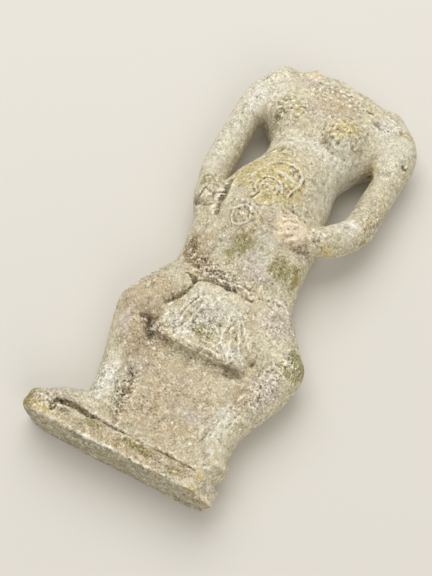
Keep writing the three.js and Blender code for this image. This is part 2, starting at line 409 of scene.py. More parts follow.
def geometry(mesh):
    """A mesh's points, edges and triangles as arrays."""
    mesh.calc_loop_triangles()
    return (
        read(mesh.vertices, "co", 3, np.float32).astype(float),
        read(mesh.edges, "vertices", 2, np.int32),
        read(mesh.loop_triangles, "vertices", 3, np.int32),
    )


def relax(points, edges, rounds, share=0.5):
    """Each round moves every point by that share of the way to the mean of its neighbours."""
    count = len(points)
    ends = np.r_[edges[:, 0], edges[:, 1]]
    others = np.r_[edges[:, 1], edges[:, 0]]
    neighbours = np.maximum(np.bincount(ends, minlength=count), 1)[:, None]
    share = np.broadcast_to(share, count)[:, None]
    for _ in range(rounds):
        sums = [np.bincount(ends, points[others, k], minlength=count) for k in range(3)]
        points = points + share * (np.stack(sums, 1) / neighbours - points)
    return points


def point_normals(points, triangles):
    """Each point's normal: its triangles' normals, weighted by area, added and made one long."""
    a, b, c = (points[triangles[:, k]] for k in range(3))
    faces = np.cross(b - a, c - a)
    corners = triangles.ravel()
    spread = np.repeat(faces, 3, axis=0)
    sums = [np.bincount(corners, spread[:, k], minlength=len(points)) for k in range(3)]
    normals = np.stack(sums, 1)
    return normals / np.maximum(np.linalg.norm(normals, axis=1, keepdims=True), 1e-12)


def step(value, low, high):
    """0 below low, 1 above high, and a smooth climb between them."""
    t = np.clip((value - low) / (high - low), 0, 1)
    return t * t * (3 - 2 * t)


def lumps(points, size, seed):
    """Soft lumps about size across.

    Random heights from -1 to 1 stand on a turned lattice and are blended smoothly between its corners.
    """
    chance = np.random.default_rng(seed)
    heights = chance.uniform(-1, 1, (32, 32, 32))
    turn, _ = np.linalg.qr(chance.normal(size=(3, 3)))
    place = points @ turn / size + 100
    cell = np.floor(place).astype(int)
    part = step(place - cell, 0, 1)
    total = np.zeros(len(points))
    for corner in np.ndindex(2, 2, 2):
        weight = np.prod(np.where(corner, part, 1 - part), axis=1)
        i, j, k = ((cell + corner) % 32).T
        total += weight * heights[i, j, k]
    return total


def distance(xy, course):
    """The distance from each point to a polyline: the least distance to any of its segments."""
    start, run = course[:-1], np.diff(course, axis=0)
    reach = xy[:, None] - start
    along = (reach * run).sum(-1) / np.maximum((run * run).sum(-1), 1e-9)
    gap = reach - np.clip(along, 0, 1)[..., None] * run
    return np.sqrt((gap * gap).sum(-1)).min(1)


def stroke(xy, stations, width, height):
    """A ridge along a smooth course, or with a negative height a groove.

    Its lift is height * exp(-(2 * distance / width)^2), and nothing 1.5 widths past the course's box.
    """
    course = smooth_path(stations, 8 * len(stations))
    near = ((xy > course.min(0) - 1.5 * width) & (xy < course.max(0) + 1.5 * width)).all(1)
    lift = np.zeros(len(xy))
    lift[near] = height * np.exp(-((2 * distance(xy[near], course) / width) ** 2))
    return lift


def line(xy, stations, width, height):
    """A raised line that stands in a shallow trough twice as wide, as one left by a mould or a tool."""
    return stroke(xy, stations, width, 1.3 * height) + stroke(xy, stations, 2.2 * width, -0.45 * height)


def ring(x, y, radius, tall=1, start=0, end=360):
    """Stations on an oval arc round (x, y), from one angle in degrees to another."""
    angle = np.radians(np.linspace(start, end, 13))
    return np.stack([x + radius * np.cos(angle), y + radius * tall * np.sin(angle)], 1)


def patch(xy, x, y, wide, tall, turn=0):
    """A soft oval patch, turned by some degrees: exp(-r^2), with r the distance in half axes."""
    angle = math.radians(turn)
    dx, dy = xy[:, 0] - x, xy[:, 1] - y
    across = dx * math.cos(angle) + dy * math.sin(angle)
    up = dy * math.cos(angle) - dx * math.sin(angle)
    return np.exp(-((across / wide) ** 2) - (up / tall) ** 2)


# The belly and the breasts: x, y, half width, half height, how far they stand out, and how full they are.
DOMES = [
    (-2.2, 92, 17, 25, 5.6, 2),
    (*LEFT_BREAST, 7.6, 7.6, 2.2, 1.1),
    (*RIGHT_BREAST, 7.4, 7.6, 4.1, 1.1),
]
# The belly's emblem in thin lines, raised or, below 0, sunk: width, height, stations.
EMBLEM = [
    # the outer arc
    (1.1, 0.55, [(-11.4, 97.8), (-8.8, 103), (-7, 106.6), (-4.3, 108.9), (-2.1, 108.4), (-1.1, 106.3)]),
    # the inner arc, up its left and down its right
    (1, 0.6, [(-8.4, 91.8), (-7.1, 95.3), (-5.7, 98), (-4, 100.1), (-1.4, 101), (1.2, 101.1)]),
    (1, 0.75, [(1.2, 101.1), (3.5, 100.3), (5, 98.7), (5.3, 96.5), (4.9, 93.9), (3.8, 89.9)]),
    # the bar over the eye and the groove under it
    (1.8, 0.45, [(-2.9, 96.3), (0.6, 96), (4.6, 95.3)]),
    (1, -0.5, [(-0.9, 94.9), (1.5, 94.1), (3.8, 93.4)]),
    # cuts beside the knobs, under the eye and in the left corner
    (0.9, -0.45, [(2.9, 100), (2, 98.9), (2.6, 97.6)]),
    (0.9, -0.4, [(-3.7, 83.7), (-1.4, 83.7), (0.7, 84.8), (2.3, 86.8)]),
    (0.9, -0.6, [(-5.5, 84.6), (-4.3, 86.9)]),
]
# The rings round the emblem's eye: radius, the degrees they start and end at, height.
EYE_RINGS = [(3.9, 10, 225, 0.32), (2.5, -20, 200, 0.22), (1.3, 0, 360, 0.25)]
# The kilt's pleats, thin lines that fan out to the rim, and how wide and high each one is.
PLEAT_WIDTH = 1.4
PLEAT_HEIGHT = 0.65
PLEATS = [
    [(-5.3, 52.4), (-7.4, 47.6), (-8.6, 42.6)],
    [(-7.2, 51.6), (-9.2, 46.6), (-10.6, 41.8)],
    [(-3.4, 50.4), (-4.8, 46.4), (-6.2, 42.2)],
    [(4.8, 51.4), (5.2, 47), (5.8, 40.4)],
    [(5.8, 52), (7.4, 46.4), (9.4, 40.4)],
    [(6.6, 52.4), (9.6, 46.6), (12.8, 40.8)],
    [(7.4, 52.6), (10.8, 48.6), (14.4, 44)],
]
# Ridges and, below 0, grooves: width, height, stations.
STROKES = [
    # the belly: the groove and the roll beside the left hand, and the fold at its lower left
    (2.2, -1, [(-14.9, 91), (-14.8, 87), (-14.4, 83), (-14, 79)]),
    (1.6, 0.5, [(-13, 92), (-12.8, 87), (-12, 82)]),
    (2.4, -0.35, [(-17.2, 68.2), (-12.5, 65.2), (-8.4, 62.5), (-3.8, 61.8)]),
    # the right hand: the creases over its fingers, and the crease and the roll under its wrist
    (1.1, -0.45, [(5.6, 87.2), (9, 87.8), (12.5, 87.2), (14.9, 85.6)]),
    (0.8, -0.25, [(6, 85.5), (7.4, 87.2), (5.6, 89.7)]),
    (1.2, -0.6, [(8.6, 76.9), (11, 77.6), (13, 78.9), (15, 80.8), (16.6, 82.8), (17.4, 84)]),
    (1.3, 0.4, [(10, 75.6), (12.6, 76.6), (15, 78.6)]),
    # the left hand: its outline, the lines cut in it, and the roll along its fingers
    (1.2, -0.4, ring(*LEFT_HAND, 4.5, 1.08, -150, 120)),
    (1, -1, [(-22.3, 83.5), (-21.6, 86.8), (-20.1, 89.2), (-18.3, 88.7)]),
    (0.9, -0.8, [(-21.2, 86), (-18.6, 85.4), (-15.6, 86.2)]),
    (0.9, -0.6, [(-20, 88.6), (-18.4, 86), (-17.6, 83)]),
    (1.2, -0.6, [(-23.8, 83.1), (-19.8, 81.3), (-16.9, 82.1)]),
    (1.8, 0.4, [(-16.8, 90.4), (-17, 86), (-16.6, 81), (-15, 75)]),
    # the creases along the right and the left breast
    (1.9, -0.4, ring(*RIGHT_BREAST, 7, 1, 95, 290)),
    (1.3, -0.35, ring(-10.6, 123.4, 6.4, 1, 120, 250)),
    # the collar: grooves over and under its beads and beside the neck, and the right shoulder's fold
    (1.1, -0.7, [(-6.6, 138.8), (-1.9, 138), (2, 138.2), (5.4, 139)]),
    (1.4, -0.3, [(-8.6, 132.4), (-2, 131.6), (4, 131.8), (10, 132.6)]),
    (1.2, -0.4, [(-13.6, 141.6), (-12.6, 138.4), (-9.8, 135.4)]),
    (1.6, -0.45, [(6.4, 137.6), (11, 136), (16, 134.6), (20, 132.4)]),
    (1.4, 0.4, [(8, 139.6), (13, 138.4), (18, 137)]),
    # the kilt's left edge and the groove beside it
    (1.9, 0.45, [(-5.7, 56.4), (-8, 51.7), (-10.1, 47.7), (-12.1, 44.4), (-13.1, 40.5)]),
    (1.7, -0.9, [(-10.2, 57.4), (-9.8, 54), (-11.8, 50), (-14.4, 46.8)]),
    # the creases and rolls round the waist
    (1.5, -0.8, [(-13.5, 58.2), (-10.5, 57.6), (-6.2, 58.5), (0.3, 59), (4.3, 58.6), (7.9, 58.7)]),
    (1.3, 0.45, [(-12, 60), (-6, 60), (0, 60.6), (6, 60.2)]),
    (1.3, -0.45, [(-15.4, 62.4), (-9.4, 61.6), (-2, 61.6), (3, 62), (6, 61.4)]),
    (0.8, -0.4, [(7.9, 58.7), (11.3, 61), (15.5, 62)]),
    (1.3, 0.6, [(14.4, 62.6), (17.4, 62.4), (19.6, 60.4)]),
    # the kilt's rim and the hollow at its left end
    (1.1, 0.35, [(-14, 39.6), (-8, 38.7), (0, 38.7), (8, 39), (15.6, 40)]),
    (2.6, -0.8, [(-19, 40.6), (-16.8, 41), (-15, 38.6), (-14, 36.8)]),
    # the left shin: the crease where it meets the web, its ridge, and a line
    (2.8, -0.45, [(-13.4, 25), (-11.8, 17), (-11, 9)]),
    (3, 0.5, [(-20.8, 36), (-18.4, 27), (-17.4, 15)]),
    (1, -0.35, [(-16, 25), (-14.6, 20), (-14, 15)]),
    # the right shin: the crease, the ridge, two lines, and the crease over the foot
    (1.6, -0.35, [(13.9, 20), (13.2, 14), (11, 9)]),
    (2.4, 0.5, [(19.4, 34), (17.6, 27), (15.8, 15)]),
    (1, -0.4, [(17.6, 28.6), (15.6, 22), (13.8, 14.8)]),
    (1, -0.4, [(21, 32), (19.8, 26), (18.2, 17)]),
    (1, -0.5, [(15.4, 10.4), (16.6, 8.6), (19.4, 8.8)]),
    # the arc raised on the web
    (0.8, 0.25, ring(6, 11.4, 3.6, 1, -70, 60)),
    # the groove between the feet and the plinth, deepest at its left, and the plinth's lower edge
    (1.8, -1.5, [(-27.4, 3.9), (-27.8, 6.2), (-25.3, 7.2), (-22, 7.2), (-18.3, 7.1), (-15.9, 7.1)]),
    (1.2, -0.9, [(-15.6, 7.2), (-9.5, 7.2), (-0.4, 6.7), (8.3, 7), (16.6, 6.1)]),
    (1.3, 0.3, [(-30, 1.2), (-20, 0.9), (-11.8, 0.8), (-2.4, 0.8), (9.8, 0.7), (18, 0.8)]),
]
# Broad hollows and, above 0, swellings: x, y, half width, half height, height.
HOLLOWS = [
    # the middle of the kilt, and the foot's broken side
    (-0.6, 43.4, 4.6, 3, -0.5),
    (20, 7.4, 2.4, 0.7, -0.6),
    # the channel worn in the plinth's front, with the lump left in it
    (-23.5, 4.6, 4.4, 1.1, -0.7),
    (-12, 3.6, 5, 1.4, -0.5),
    (4, 3.4, 9, 1.5, -0.6),
    (12.6, 3, 1.2, 1.4, 0.4),
]
# Knobs on the belly, the left hand, the right foot and the neck: x, y, half width, height.
KNOBS = [
    (1, 101.2, 0.9, 0.5),
    (-0.6, 100.6, 0.7, 0.4),
    (0.8, 98.6, 0.8, 0.4),
    (0, 92.8, 0.6, 0.5),
    (1.3, 91.4, 0.7, 0.5),
    (1.9, 89.9, 0.6, 0.4),
    (*EMBLEM_EYE, 0.8, 0.4),
    (3, 90.6, 0.8, 0.3),
    (9.5, 90.8, 0.9, 0.4),
    (-19.6, 86.6, 1.8, 0.5),
    (*NAVEL, 1, 0.4),
    (17.9, 12.6, 1.4, 0.7),
    (20, 14.2, 1, 0.5),
    (20.8, 10.4, 1.2, 0.7),
    (23.4, 10.7, 1, 0.5),
    (19.4, 8.5, 1.1, 0.5),
    (-8.6, 140.4, 1.4, 0.6),
]
# Holes and deep pits: x, y, half width, depth.
HOLES = [
    (0.2, 59.1, 0.9, -1.5),
    (1.8, 59.4, 0.7, -1.2),
    (-10.4, 57.2, 0.9, -1.4),
    (3.3, 47.5, 0.6, -0.9),
    (-18.2, 40.8, 1, -1.1),
    (-16.6, 41, 0.9, -1),
    (-15.4, 39.4, 1, -1),
    (-14.7, 37.4, 0.9, -0.9),
    (16.6, 41.4, 0.9, -1),
    (-0.4, 35.9, 0.7, -0.8),
    (19.2, 83.2, 0.8, -0.8),
    (20.9, 80.7, 0.6, -0.7),
    (29.7, 122.8, 1, -1.4),
    (12.4, 135, 0.9, -0.8),
    (-6.2, 133.9, 0.8, -0.7),
    (-12.6, 122.1, 0.9, -0.4),
    (-12.5, 119.5, 0.8, -0.4),
    (-14.6, 123.7, 0.7, -0.4),
]
# Courses along which the clay was smoothed by thumb: width, stations.
SMOOTHED = [
    (8, [(-15.4, 31), (-14, 26), (-13.4, 22), (-11.6, 9)]),
    (10, [(18.5, 36), (15.6, 29), (14.2, 20), (12, 9)]),
    (7, [(-16.4, 50), (-18.6, 46), (-21, 42)]),
    (9, [(10, 57), (14, 50), (19, 42)]),
    (9, [(-13, 136), (-16, 128), (-19, 120)]),
    (9, [(14, 136), (18, 128), (21, 118)]),
]


def softness(xy):
    """Where the clay was smoothed by thumb, 1, and where its edges stay crisp, 0."""
    soft = patch(xy, 0, 72, 18, 8) + patch(xy, 23, 52, 7, 7) + patch(xy, -23, 53, 7, 7)
    for width, stations in SMOOTHED:
        soft += stroke(xy, stations, width, 1)
    return np.clip(1.3 * soft, 0, 1)


def domes(xy):
    """How far the belly and the breasts swell out of the trunk.

    Each dome is height * (1 - r^2)^fullness, where r, in its half axes, is below 1.
    """
    swell = np.zeros(len(xy))
    for x, y, wide, tall, height, fullness in DOMES:
        radius = ((xy[:, 0] - x) / wide) ** 2 + ((xy[:, 1] - y) / tall) ** 2
        swell += height * np.clip(1 - radius, 0, 1) ** fullness
    return swell


def belly_relief(xy):
    """The rings round the emblem's eye, the navel's ring, two rows of bumps, and hatching at the right."""
    lift = line(xy, ring(*NAVEL, 2.9), 0.9, 0.4)
    for radius, start, end, height in EYE_RINGS:
        lift += line(xy, ring(*EMBLEM_EYE, radius, 0.9, start, end), 0.8, height)
    for row_y, left in ((83.4, -9.6), (81.2, -3)):
        for place in range(4):
            lift += 0.3 * patch(xy, left + 1.9 * place, row_y + 0.25 * (place % 2), 0.75, 0.5)
    for place in range(4):
        lift += 0.25 * patch(xy, 8.6 + 0.5 * place, 97.8 - 1.7 * place, 1.1, 0.4, 40)
    return lift


def hand_relief(xy):
    """The right hand's fingers, and three rough bracelets of beads at its wrist."""
    lift = np.zeros(len(xy))
    for finger in range(4):
        down = FINGER_PITCH * finger
        tip = (4.8 + 0.95 * finger, HAND_Y + 1.1 - down)
        knuckle = (9 + finger, HAND_Y + 3.1 - down)
        lift += stroke(xy, [knuckle, tip], 1.25, 0.6)
    for bracelet in range(3):
        x = 14.4 + 1.9 * bracelet
        for bead in range(4):
            lift += 0.5 * patch(xy, x + 0.3 * bead, 86.6 - 1.5 * bead, 0.8, 0.7)
    return lift


def breast_relief(xy):
    """Three rings and faint petals on each breast.

    The petals are cos(petals * angle), within a band round 0.7 of the reach.
    """
    lift = np.zeros(len(xy))
    for (x, y), height in ((LEFT_BREAST, 0.18), (RIGHT_BREAST, 0.16)):
        dx, dy = xy[:, 0] - x, xy[:, 1] - y
        radius = np.hypot(dx, dy) / BREAST_REACH
        band = np.exp(-(((radius - 0.7) / 0.26) ** 2))
        lift += height * band * np.cos(PETALS * np.arctan2(dy, dx))
        for share in (0.3, 0.6, 0.86):
            lift += line(xy, ring(x, y, share * BREAST_REACH), 0.9, 0.16)
    return lift


def collar_relief(xy):
    """Two rows of worn beads under the neck, which bend down towards the shoulders."""
    lift = np.zeros(len(xy))
    for place in range(11):
        x = -7.4 + 2 * place
        sag = 0.014 * (x - 1) ** 2
        lift += 0.55 * patch(xy, x, 136.2 - sag + 0.4 * (place % 2), 0.85, 1)
        lift += 0.45 * patch(xy, x + 0.8, 133.8 - sag - 0.5 * (place % 3), 0.9, 0.8)
    return lift


# How far worn lines stray from their course, and the size of the strays.
STRAY = 0.35
STRAY_SIZE = 2.4


def strayed(points):
    """Each point's x and y, shifted by soft lumps.

    All that is laid out on them bends a little, as handwork does.
    """
    shifts = []
    for seed in (11, 12):
        fine = lumps(points, 0.4 * STRAY_SIZE, seed + 2)
        shifts.append(lumps(points, STRAY_SIZE, seed) + 0.5 * fine)
    return points[:, :2] + STRAY * np.stack(shifts, 1)


def carve(points, normals):
    """The height of all carving over the worn forms, which fades out as the surface turns away."""
    facing = step(normals[:, 2], 0.1, 0.45)
    shown = facing > 0
    xy = strayed(points[shown])
    carving = belly_relief(xy) + hand_relief(xy) + breast_relief(xy) + collar_relief(xy)
    for width, height, stations in EMBLEM:
        carving += line(xy, stations, width, height)
    for pleat in PLEATS:
        carving += line(xy, pleat, PLEAT_WIDTH, PLEAT_HEIGHT)
    for width, height, stations in STROKES:
        carving += stroke(xy, stations, width, height)
    for x, y, wide, tall, height in HOLLOWS:
        carving += height * patch(xy, x, y, wide, tall)
    for x, y, radius, height in KNOBS + HOLES:
        carving += height * patch(xy, x, y, radius, radius)
    fade = 0.85 + 0.35 * lumps(points[shown], 3, 14)
    lift = np.zeros(len(points))
    lift[shown] = carving * fade * facing[shown]
    return lift


def underside(points, normals, least):
    """1 on the plinth's underside, and 0 where normals point down the body by less than that least."""
    return step(-normals[:, 1], least, 0.9) * step(-points[:, 1], -3, -1)


# Worn lumps all over the skin: size and height.
LUMPS = [(9, 0.3), (3.2, 0.16), (1.6, 0.12), (0.9, 0.1)]


def wear(points, normals):
    """The uneven, pitted skin of worn clay.

    It has lumps of four sizes, shallow pits where a fifth kind runs high within drifts of a sixth, and
    streaks along the plinth's underside.
    """
    lift = sum(height * lumps(points, size, seed) for seed, (size, height) in enumerate(LUMPS, 1))
    lift -= 0.3 * step(lumps(points, 1.8, 5), 0.5, 0.9) * step(lumps(points, 9, 7), -0.1, 0.5)
    lift += 0.3 * lumps(points * (0.15, 1, 1), 1.3, 8) * underside(points, normals, 0.6)
    return lift


# Rounds of smoothing: for the whole skin, for where it was smoothed by thumb, and for the normals.
WORN_ROUNDS = 8
THUMBED_ROUNDS = 120
NORMAL_ROUNDS = 6


def sculpt(sizes):
    """The finished skin in millimetres: forms joined, worn smooth, carved and thinned out."""
    skins = forms()
    offsets = np.cumsum([0] + [len(points) for points, _ in skins[:-1]])
    points = np.vstack([points for points, _ in skins])
    triangles = np.vstack([faces + offset for (_, faces), offset in zip(skins, offsets)])
    mesh = mesh_of(points, triangles, "forms")
    mesh = with_modifier(mesh, "REMESH", mode="VOXEL", voxel_size=sizes.grain)
    points, edges, triangles = geometry(mesh)
    points[:, 2] = np.maximum(points[:, 2], 0)
    points = relax(points, edges, WORN_ROUNDS)
    soft = softness(points[:, :2]) * step(points[:, 2], 6, 9)
    points = relax(points, edges, THUMBED_ROUNDS, 0.5 * soft)
    points[:, 2] += domes(points[:, :2]) * step(points[:, 2], 10, 18)
    normals = point_normals(relax(points, edges, NORMAL_ROUNDS), triangles)
    lift = sizes.carving * carve(points, normals) + sizes.wear * wear(points, normals)
    points = points + lift[:, None] * normals
    points[:, 2] = np.maximum(points[:, 2], 0)
    mesh.vertices.foreach_set("co", points.astype(np.float32).ravel())
    mesh.update()
    mesh = with_modifier(mesh, "TRIANGULATE")
    share = min(1, sizes.triangles / len(mesh.polygons))
    return with_modifier(mesh, "DECIMATE", ratio=share, use_collapse_triangulate=True)


# Patches of colour in the clay, some of them painted shade and painted light: x, y, half width, half
# height, share, and by how many degrees some turn.
COOL = [
    (-25, 112, 5, 24, 0.9),
    (-22, 132, 8, 8, 1),
    (-18.6, 18, 4, 8, 1.2),
    (17, 21, 3, 9, 1, -12),
    (0, 52, 11, 5, 0.8),
    (4.6, 92, 2, 2, 0.8),
    (3, 77, 5, 3, 0.8),
    (25, 127, 5, 12, 1),
    (20, 132, 6, 5, 1.1),
    (22, 93, 4, 5, 0.9),
    (1, 26, 5, 4, 1.1, 30),
    (4, 21, 3, 5, 0.8, 30),
    (0, 113, 12, 4, 0.9),
    (11, 116, 6, 4, 0.7),
    (8, 41, 5, 2, 0.8),
    (5, 70, 3, 4, 0.9),
    # painted light on the right flank, which lifts its shade
    (15, 104, 4, 9, 1),
]
CHALK = [
    (1, 96, 3.6, 0.9, 1, -8),
    (0.8, 91.4, 0.9, 2, 0.9, 30),
    (0.8, 100, 1, 1.4, 0.8, 30),
    (-4.1, 45.3, 1.6, 1.2, 1),
    (-1.5, 47.3, 2, 1.4, 1),
    (-6.2, 40.5, 1.2, 1.6, 1.1),
    (-9.6, 44, 1.6, 3, 0.8, 20),
    (3.6, 45.4, 0.9, 2, 0.7),
    (9.4, 41, 1.4, 2, 1.1, 20),
    (12.6, 41.4, 1.2, 1.6, 1, 20),
    (-18, 19, 2.4, 6, 1.1),
    (14.8, 23.6, 1.2, 6, 1, -14),
    (19.6, 133, 3, 2.6, 1),
    (-23, 126, 3, 7, 0.9),
    (-10.6, 124, 2.4, 2, 0.5),
    (-27, 49, 3, 2, 0.8, 20),
    (-6, 41.6, 7, 0.9, 0.9, -6),
    (24, 95, 4, 3, 0.8, 20),
    (17.9, 12.6, 1.2, 1.2, 1),
    (-23.4, 37, 1, 4, 0.8),
    # a painted highlight, with pale wear, along the plinth's lower edge
    (-11, 0.6, 10, 0.9, 0.8),
    (-16, 103, 2, 3, 0.5),
]
EARTH = [
    (0, 21, 16, 18, 0.9),
    (-15, 67, 4, 5, 0.9),
    (10, 53, 5, 4, 0.6),
    (-24, 44, 4, 6, 0.7),
    (8, 3.6, 12, 2, 0.9),
    (-17, 51, 5, 4, 0.8),
    (-18.6, 37, 5, 8, 1.1),
    (-13, 35, 4, 5, 0.8),
    (-20, 48, 6, 5, 0.8),
    (20, 33, 5, 6, 1),
    (-3, 77, 14, 8, 0.6),
    (-11, 62, 6, 5, 0.9),
    (3, 132, 10, 6, 0.8),
    (6, 61, 6, 3, 0.8),
    (-17, 118, 4, 5, 0.5),
    (-14, 3, 22, 2, 0.8),
    (-34, 4, 3, 4, 0.9),
]
OCHRE = [
    (-3, 96, 9, 12, 0.9, -15),
    (-0.6, 86.9, 4.4, 1.5, 1.1, 29),
    (-13, 93, 2.4, 5, 1, -20),
    (5, 92, 3, 4, 0.8),
    (8.6, 123, 5, 5, 1),
    (-8.6, 124, 3.4, 3, 0.9),
    (20, 84, 4, 1.6, 0.8, 10),
    (20.6, 116.6, 2.4, 5, 0.7),
    (-9, 140, 4, 3, 0.3),
    (29, 106, 1.6, 9, 0.5),
    (27.6, 97, 1.6, 4, 0.5),
    (18.8, 4.6, 1, 1, 1.2),
    (18.2, 0.4, 1.2, 1, 1.3),
    (-30, 3, 6, 2, 0.8),
    # a painted highlight, with pale wear, along the plinth's lower edge
    (-14, 1, 14, 1, 0.5),
    (15.6, 72.6, 2, 4, 0.8),
    (26, 134, 3, 2, 0.8),
]
OLIVE = [
    (-2.6, 71.6, 3.6, 6.6, 0.95, -20),
    (10.6, 70.8, 3, 4.6, 1.1),
    (15.4, 71.6, 2.2, 4.4, 0.9),
    (26.6, 48.4, 2, 2, 1.1),
    (28.6, 46, 2.6, 3.6, 1.5),
    (25, 44, 2.6, 1.6, 1),
    (28.4, 93, 1, 4, 0.6, -30),
    (30.6, 120, 1, 5, 0.5),
    (-23.4, 90, 1.6, 2.6, 1),
    (-7, 107, 6, 2, 0.8, 30),
    (-12.6, 121.4, 2.4, 3, 1),
    (-13.6, 127, 2, 1.6, 0.7),
    (0, 4.4, 8, 1.4, 1),
    (13, 3, 5, 1.6, 0.7),
    (-15, 4.6, 4, 1.4, 0.9),
    (-36.6, 5, 2.4, 4, 1.2),
    (-36.4, 1.6, 2, 1.6, 1.2),
    (0, 43.6, 4.4, 3.2, 1),
    (-20, 58.6, 5, 2.4, 0.6, 20),
    (20, 41, 3, 2, 0.6, 30),
    (-20, 88, 4, 4, 0.5),
    (24, 133, 2, 2, 0.6),
    (29.7, 122.8, 0.9, 0.9, 1.4),
]
# Brown soil, and painted shadow in creases, in the groove over the plinth and under the kilt's rim.
BROWN_SOIL_AND_SHADOW = [
    (-1, 61, 8, 2.2, 1.1),
    (-11.4, 63.4, 7, 3, 1, -28),
    (-16.6, 68, 2, 4, 0.9),
    (-36.4, 5, 1.6, 3, 0.8),
    (-12.4, 50.6, 1.4, 5, 1, -25),
    (-16.2, 39.4, 2.4, 2.4, 1.2, 20),
    (-14, 35.6, 2, 2.4, 0.7),
    (-12, 18, 2.2, 9, 1.3, 8),
    (5.4, 115.6, 2.6, 1.2, 0.8, -30),
    # painted shadow in the groove between the feet and the plinth
    (0, 7, 17, 0.7, 0.9),
    # painted shadow under the kilt's rim
    (-9.7, 37.6, 3, 1, 0.8),
    (6, 37.6, 11, 0.9, 0.9, 2),
    (12.2, 36.2, 3.4, 1.2, 1.1, 8),
    (20.4, 116, 2.4, 2.6, 1.3),
    (-14.8, 85, 1.1, 5, 1),
    (16.4, 131.6, 2.4, 1.6, 0.9, -20),
    (12.4, 135, 1.4, 1.2, 0.9),
    (4.6, 119, 2, 3, 0.7, 30),
    (14, 79, 6, 0.8, 0.9, 22),
    (22.6, 3, 2, 4, 0.4),
    (-24, 7, 5, 0.9, 0.9),
]
FLESH = [
    (9.8, 82.2, 5, 4.2, 1.2),
    (22.4, 0.4, 1.6, 1.4, 0.9),
    (-9.6, 141, 3, 2.4, 0.7),
]
LILAC = [
    (5, 67, 5, 3.4, 1, -20),
    (-22, 37, 2, 5, 0.8),
    (22.6, 38, 4, 4, 0.9),
    (-5, 83, 4, 1.3, 1.1, -8),
    (-1, 49, 5, 3, 0.8),
    (-13, 27, 3, 5, 0.6),
    (24, 33, 2, 5, 0.7),
    (9, 20, 6, 3, 0.7),
    (-10, 137, 5, 2, 0.7),
    (18, 55, 6, 5, 0.7),
    (-28, 9.6, 6, 2, 0.7),
    (-3, 127, 4, 6, 0.5),
    (-22, 97, 3, 5, 0.5),
    (20, 63, 3, 4, 0.7),
]
ROUGH = [
    (-2, 92, 11, 15, 0.6),
    (-19, 83, 4, 5, 0.8),
    (17.4, 84.6, 4, 3.6, 1),
    (9, 123, 6, 6, 0.9),
    (-11, 122, 6, 6, 1),
    (0, 137, 14, 4, 0.8),
    (-5, 62, 14, 4, 1.1, -8),
    (0, 46, 16, 8, 0.6),
    (0, 20, 16, 14, 0.6),
    (-14, 37, 6, 5, 0.9),
    (-20, 17, 4, 8, 0.9),
    (-30, 6, 8, 6, 1),
    (0, 3.4, 22, 3, 0.7),
    (22, 30, 5, 12, 0.7),
    (20, 116, 3, 3, 0.9),
    (27, 96, 4, 8, 0.5, -30),
    (28, 122, 3, 6, 0.6),
    (-4, 72, 6, 6, 0.5),
    (27, 46, 4, 5, 0.9),
    (-16, 67, 3, 4, 0.6),
    (-12.4, 18, 3, 10, 1.1, 8),
    (-1, 44, 6, 4, 0.8),
    (28, 102, 3, 10, 0.6),
    (-25, 112, 3, 14, 0.7),
    (-22, 134, 6, 5, 0.8),
    (22, 134, 5, 4, 0.9),
    (20, 55, 6, 6, 0.9),
    (-22, 52, 6, 6, 0.9),
    (23, 38, 4, 6, 0.9),
    (9, 68, 8, 6, 0.8),
    (-4, 114, 12, 4, 0.5),
]
# The point attribute that holds each kind.
TINTS = {
    "cool": COOL, "chalk": CHALK, "earth": EARTH, "ochre": OCHRE, "olive": OLIVE,
    "brown_soil_and_shadow": BROWN_SOIL_AND_SHADOW, "flesh": FLESH, "lilac": LILAC, "rough": ROUGH,
}


# Rounds of smoothing: for the skins that fine and broad hollows are measured from, and to even out the
# fine measure.
NEAR_ROUNDS = 4
FAR_ROUNDS = 60
EVEN_ROUNDS = 20


def stains(points, edges, triangles):
    """How much of each stain, painted shade and painted highlight every point holds, from 0 to 1, by its
    name.

    Hollows take soil and painted shade, and ridges pale wear and a painted highlight; both come from the
    carving and from how far a point stands from the smoothed skin.
    """
    normals = point_normals(points, triangles)
    near = ((relax(points, edges, NEAR_ROUNDS) - points) * normals).sum(1)
    near -= relax(np.stack([near] * 3, 1), edges, EVEN_ROUNDS)[:, 0]
    far = ((relax(points, edges, FAR_ROUNDS) - points) * normals).sum(1)
    cut = carve(points, normals)
    front = step(normals[:, 2], -0.7, 0)
    # Each step's two numbers are the depth, height or slope at which a share starts and is full.
    shares = {
        # hollow: soil and painted shade in creases and in lines cut into the skin
        "hollow": np.maximum(step(near, 0.02, 0.12), step(-cut, 0.15, 0.8)),
        # ridge: pale wear and a painted highlight on edges and raised lines
        "ridge": np.maximum(0.9 * step(-near, 0.01, 0.08), step(cut, 0.15, 0.8)),
        # broad hollows: soil and painted shade
        "valley_soil_and_shade": step(far, 0, 1),
        # under: the plinth's underside, which takes a painted shade as well as its blade streaks
        "under": underside(points, normals, 0.5),
    }
    xy = strayed(points)
    for name, patches in TINTS.items():
        total = np.zeros(len(xy))
        for x, y, wide, tall, share, *turn in patches:
            total += share * patch(xy, x, y, wide, tall, *turn)
        shares[name] = np.clip(total, 0, 1) * front
    return shares


def linear(colour):
    """An sRGB hex colour as linear red, green, blue and alpha."""
    parts = [int(colour[k : k + 2], 16) / 255 for k in (1, 3, 5)]
    return [c / 12.92 if c <= 0.04045 else ((c + 0.055) / 1.055) ** 2.4 for c in parts] + [1]


def node(tree, kind, inputs, **settings):
    """Adds a node with its settings, and fills its inputs: a socket is linked, and a value is set."""
    made = tree.nodes.new("ShaderNode" + kind)
    for key, value in settings.items():
        setattr(made, key, value)
    for key, value in inputs.items():
        if isinstance(value, bpy.types.NodeSocket):
            tree.links.new(value, made.inputs[key])
        else:
            made.inputs[key].default_value = value
    return made
